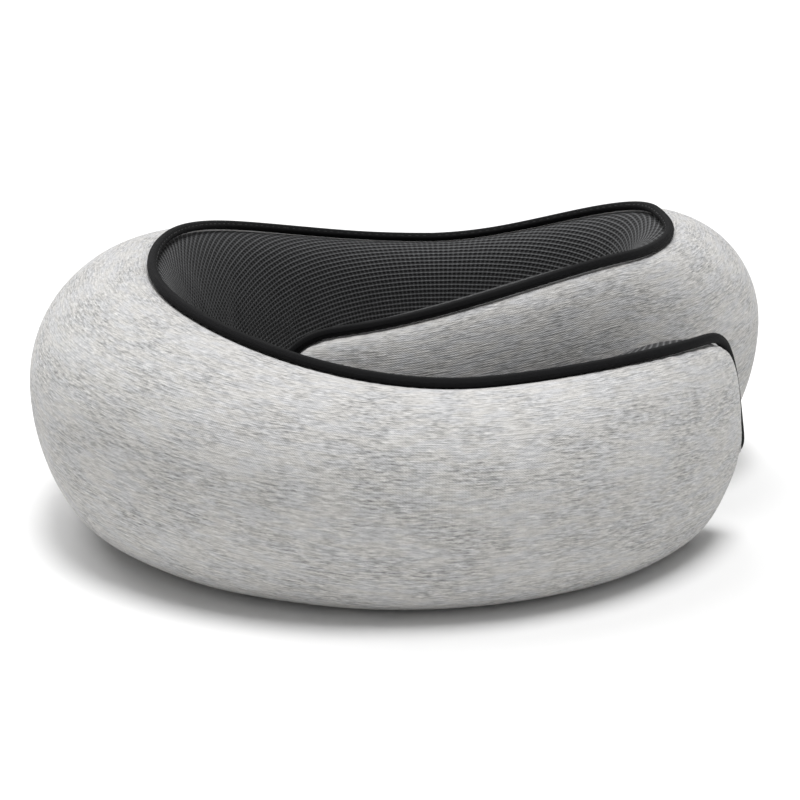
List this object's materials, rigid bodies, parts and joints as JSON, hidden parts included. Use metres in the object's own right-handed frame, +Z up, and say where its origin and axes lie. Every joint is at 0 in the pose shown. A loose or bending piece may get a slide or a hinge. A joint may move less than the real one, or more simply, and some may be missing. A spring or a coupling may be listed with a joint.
{
  "type": "u shaped neck pillow",
  "caption": "Wrap-round memory foam neck pillow: a ring of heather jersey with a mesh-lined neck side and bound seams, whose two arms overlap at the front and flex open.",
  "frame": {"origin": "middle of the pillow's box, on the surface it rests on", "axes": "+Z up, +Y towards the nape (back of the neck), +X towards the wearer's side where the front arm's tip ends"},
  "size_m": [0.3122, 0.2754, 0.1104],
  "materials": {
    "heather_jersey": "heather knit jersey, tight and matt",
    "black_spacer_mesh": "black spacer mesh with lengthwise ridges",
    "black_binding": "smooth rolled binding",
    "memory_foam": "open-cell memory foam",
    "zip_tape": "woven tape",
    "zip_coil": "nylon coil",
    "zinc_slider": "dark plated zinc",
    "label_ribbon": "blank satin ribbon"
  },
  "bodies": {
    "nape": {"foam_nape": "memory_foam", "cover_nape": "heather_jersey", "lining_nape": "black_spacer_mesh", "binding_nape_top": "black_binding", "binding_nape_bottom": "black_binding", "zip_tape_upper": "zip_tape", "zip_tape_lower": "zip_tape", "zip_coil_upper": "zip_coil", "zip_coil_lower": "zip_coil", "zip_stop_start": "zinc_slider", "zip_stop_end": "zinc_slider", "care_label": "label_ribbon"},
    "left_arm": {"foam_left_arm": "memory_foam", "cover_left_arm": "heather_jersey", "lining_left_arm": "black_spacer_mesh", "binding_left_arm": "black_binding"},
    "right_arm": {"foam_right_arm": "memory_foam", "cover_right_arm": "heather_jersey", "lining_right_arm": "black_spacer_mesh", "binding_right_arm": "black_binding"},
    "zip_slider": {"zip_slider": "zinc_slider"},
    "zip_pull": {"zip_pull": "zinc_slider"}
  },
  "joints": [
    {"name": "left_arm_flex", "type": "hinge", "parent": "nape", "child": "left_arm", "pos_m": [-0.12937, 0.02324, 0.05], "axis": [0, 0, -1], "range_deg": [0, 50], "stiffness_Nm_per_rad": 0.6},
    {"name": "right_arm_flex", "type": "hinge", "parent": "nape", "child": "right_arm", "pos_m": [0.13225, 0.06162, 0.05], "axis": [0, 0, 1], "range_deg": [0, 35], "stiffness_Nm_per_rad": 0.6},
    {"name": "zip_slide", "type": "hinge", "parent": "nape", "child": "zip_slider", "pos_m": [0.02297, -0.13842, 0.03], "axis": [0, 0, -1], "range_deg": [0, 21.2]},
    {"name": "zip_pull_swing", "type": "hinge", "parent": "zip_slider", "child": "zip_pull", "pos_m": [-0.02852, 0.13645, 0.02951], "axis": [0.016, -0.0855, -0.9962], "range_deg": [0, 170]}
  ],
  "couplings": [
    {"joint": "right_arm_flex", "follows": "left_arm_flex", "ratio": 0.7}
  ]
}
